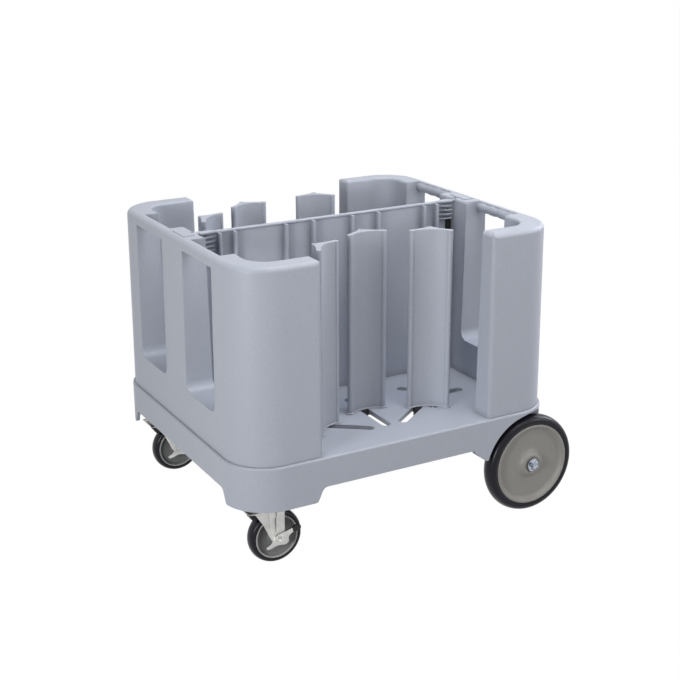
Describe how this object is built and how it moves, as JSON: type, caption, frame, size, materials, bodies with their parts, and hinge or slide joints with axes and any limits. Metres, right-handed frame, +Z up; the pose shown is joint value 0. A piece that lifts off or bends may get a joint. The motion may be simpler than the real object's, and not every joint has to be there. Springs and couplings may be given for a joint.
{
  "type": "plate dispenser cart",
  "caption": "Plate dispenser cart: moulded tray on wheels, two windowed C-shaped end walls, a ribbed divider and columns that slide along slots to fit plate sizes.",
  "frame": {"origin": "on the ground under the middle of the bounding box", "axes": "+X along the cart towards the two large wheels, +Z up, -Y the side nearest the picture's camera"},
  "size_m": [0.924, 0.798, 0.7365],
  "materials": {
    "body": "finely pebbled, light grey-blue, moulded in colour",
    "seal": "matt black",
    "black_plastic": "matt black",
    "zinc": "bright zinc plate",
    "hub": "satin taupe grey",
    "bush": "natural nylon",
    "core": "satin dark grey",
    "tyre": "semi-gloss black",
    "black_rubber": "matt black"
  },
  "bodies": {
    "cart": {"base_tray": "body", "caster_end_wall": "body", "wheel_end_wall": "body", "post_plates": "body", "wall_bolts": "zinc", "centre_divider": "body", "divider_pads": "seal", "wheel_axle": "zinc", "axle_brackets": "black_plastic", "bracket_bolts": "zinc", "axle_spacers": "zinc", "axle_washers": "zinc", "cotter_pins": "zinc", "caster_plate_near": "zinc", "caster_plate_far": "zinc", "caster_pin_near": "zinc", "caster_pin_far": "zinc", "caster_plate_bolts": "zinc"},
    "column_1_set": {"column_1": "body", "column_foot_1": "black_plastic", "clamp_knob_1": "black_plastic"},
    "column_2_set": {"column_2": "body", "column_foot_2": "black_plastic", "clamp_knob_2": "black_plastic"},
    "column_3_set": {"column_3": "body", "column_foot_3": "black_plastic", "clamp_knob_3": "black_plastic"},
    "column_4_set": {"column_4": "body", "column_foot_4": "black_plastic", "clamp_knob_4": "black_plastic"},
    "column_5_set": {"column_5": "body", "column_foot_5": "black_plastic", "clamp_knob_5": "black_plastic"},
    "column_6_set": {"column_6": "body", "column_foot_6": "black_plastic", "clamp_knob_6": "black_plastic"},
    "wheel_near": {"wheel_hub_near": "hub", "wheel_tyre_near": "tyre", "hub_bush_near": "bush"},
    "caster_near": {"caster_race_near": "zinc", "caster_fork_near": "zinc", "caster_bolt_near": "zinc"},
    "caster_near_wheel": {"caster_core_near": "core", "caster_tyre_near": "tyre"},
    "brake_near": {"brake_lever_near": "zinc", "brake_tips_near": "black_rubber"},
    "wheel_far": {"wheel_hub_far": "hub", "wheel_tyre_far": "tyre", "hub_bush_far": "bush"},
    "caster_far": {"caster_race_far": "zinc", "caster_fork_far": "zinc", "caster_bolt_far": "zinc"},
    "caster_far_wheel": {"caster_core_far": "core", "caster_tyre_far": "tyre"},
    "brake_far": {"brake_lever_far": "zinc", "brake_tips_far": "black_rubber"}
  },
  "joints": [
    {"name": "column_1_slide", "type": "slide", "parent": "cart", "child": "column_1_set", "axis": [-0.8049, 0.5935, 0], "range_m": [-0.035, 0.03]},
    {"name": "column_2_slide", "type": "slide", "parent": "cart", "child": "column_2_set", "axis": [0, -1, 0], "range_m": [-0.025, 0.04]},
    {"name": "column_3_slide", "type": "slide", "parent": "cart", "child": "column_3_set", "axis": [0.8049, 0.5935, 0], "range_m": [-0.04, 0.035]},
    {"name": "column_4_slide", "type": "slide", "parent": "cart", "child": "column_4_set", "axis": [-1, 0, 0], "range_m": [-0.02, 0.02]},
    {"name": "column_5_slide", "type": "slide", "parent": "cart", "child": "column_5_set", "axis": [-0.8049, -0.5935, 0], "range_m": [-0.02, 0.03]},
    {"name": "column_6_slide", "type": "slide", "parent": "cart", "child": "column_6_set", "axis": [0.8049, -0.5935, 0], "range_m": [0, 0.07]},
    {"name": "wheel_near_spin", "type": "hinge", "parent": "cart", "child": "wheel_near", "pos_m": [0.335, -0.366, 0.127], "axis": [0, 1, 0], "continuous": true},
    {"name": "caster_near_swivel", "type": "hinge", "parent": "cart", "child": "caster_near", "pos_m": [-0.383, -0.3, 0.146], "axis": [0, 0, 1], "continuous": true},
    {"name": "caster_near_spin", "type": "hinge", "parent": "caster_near", "child": "caster_near_wheel", "pos_m": [-0.348, -0.3, 0.067], "axis": [0, 1, 0], "continuous": true},
    {"name": "brake_near_press", "type": "hinge", "parent": "caster_near", "child": "brake_near", "pos_m": [-0.348, -0.3, 0.067], "axis": [0, 1, 0], "range_deg": [0, 15]},
    {"name": "wheel_far_spin", "type": "hinge", "parent": "cart", "child": "wheel_far", "pos_m": [0.335, 0.366, 0.127], "axis": [0, 1, 0], "continuous": true},
    {"name": "caster_far_swivel", "type": "hinge", "parent": "cart", "child": "caster_far", "pos_m": [-0.383, 0.3, 0.146], "axis": [0, 0, 1], "continuous": true},
    {"name": "caster_far_spin", "type": "hinge", "parent": "caster_far", "child": "caster_far_wheel", "pos_m": [-0.348, 0.3, 0.067], "axis": [0, 1, 0], "continuous": true},
    {"name": "brake_far_press", "type": "hinge", "parent": "caster_far", "child": "brake_far", "pos_m": [-0.348, 0.3, 0.067], "axis": [0, 1, 0], "range_deg": [0, 15]}
  ]
}
